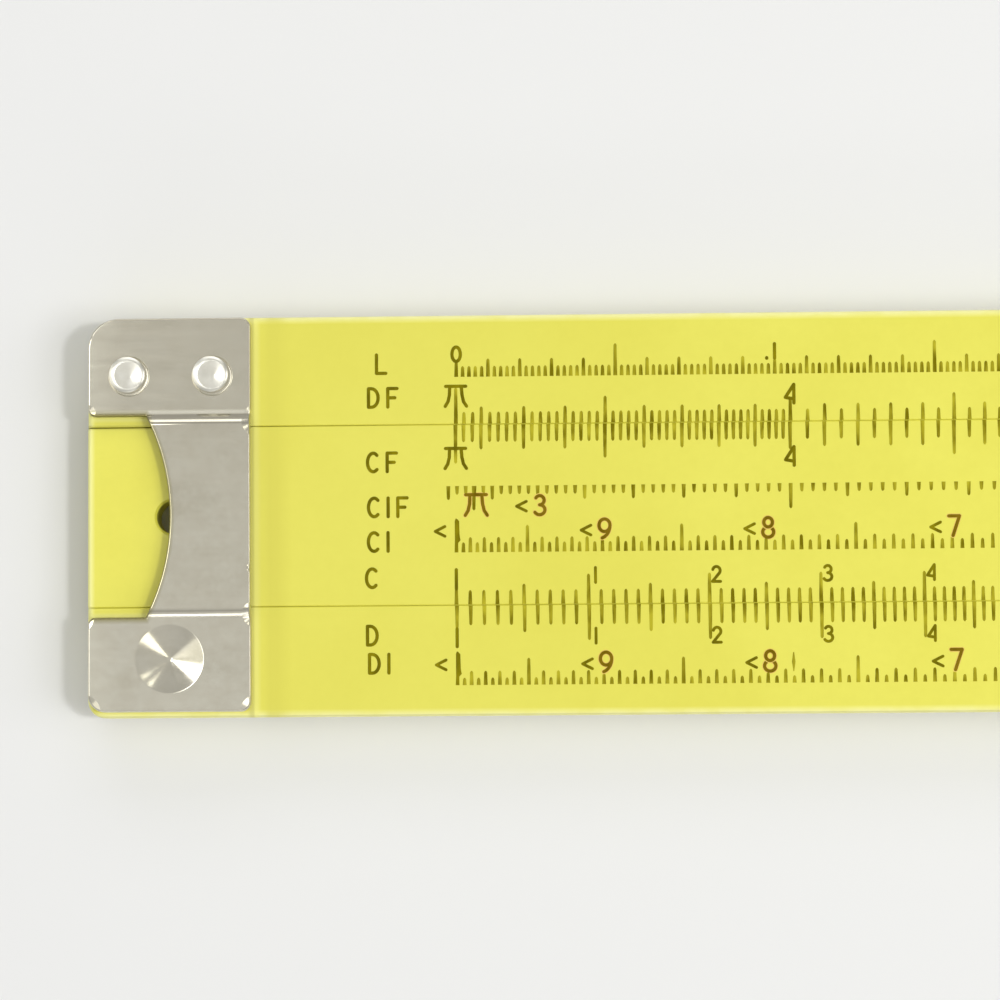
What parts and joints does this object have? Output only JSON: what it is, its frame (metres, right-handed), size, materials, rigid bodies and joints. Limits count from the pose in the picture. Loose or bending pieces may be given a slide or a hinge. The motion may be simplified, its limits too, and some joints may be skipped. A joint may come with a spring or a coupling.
{
  "type": "slide rule",
  "caption": "Duplex slide rule: a slide runs between stators held by riveted end brackets, and a sprung clear cursor travels over the scales on both faces.",
  "frame": {"origin": "under the middle of the rule, level with the surface that it lies on", "axes": "+X along the rule towards its right end, +Y across it towards the upper stator, +Z out of the front face"},
  "size_m": [0.308, 0.0388, 0.0061],
  "materials": {
    "yellow_enamel": "satin",
    "satin_aluminium": "satin",
    "rivet_aluminium": "satin",
    "clear_acrylic": "gloss",
    "spring_bronze": "satin",
    "screw_steel": "satin"
  },
  "bodies": {
    "frame": {"upper_stator": "yellow_enamel", "lower_stator": "yellow_enamel", "front_left_bracket": "satin_aluminium", "back_left_bracket": "satin_aluminium", "front_right_bracket": "satin_aluminium", "back_right_bracket": "satin_aluminium", "left_outer_rivet": "rivet_aluminium", "left_inner_rivet": "rivet_aluminium", "right_inner_rivet": "rivet_aluminium", "right_outer_rivet": "rivet_aluminium"},
    "slide": {"slide": "yellow_enamel"},
    "cursor": {"front_window": "clear_acrylic", "back_window": "clear_acrylic", "upper_runner": "satin_aluminium", "lower_runner": "satin_aluminium", "tension_spring": "spring_bronze", "front_upper_left_screw": "screw_steel", "front_upper_right_screw": "screw_steel", "front_lower_left_screw": "screw_steel", "front_lower_right_screw": "screw_steel", "back_upper_left_screw": "screw_steel", "back_upper_right_screw": "screw_steel", "back_lower_left_screw": "screw_steel", "back_lower_right_screw": "screw_steel"}
  },
  "joints": [
    {"name": "slide_travel", "type": "slide", "parent": "frame", "child": "slide", "axis": [1, 0, 0], "range_m": [-0.25, 0.25]},
    {"name": "cursor_travel", "type": "slide", "parent": "frame", "child": "cursor", "axis": [1, 0, 0], "range_m": [-0.1858, 0.0658]}
  ]
}
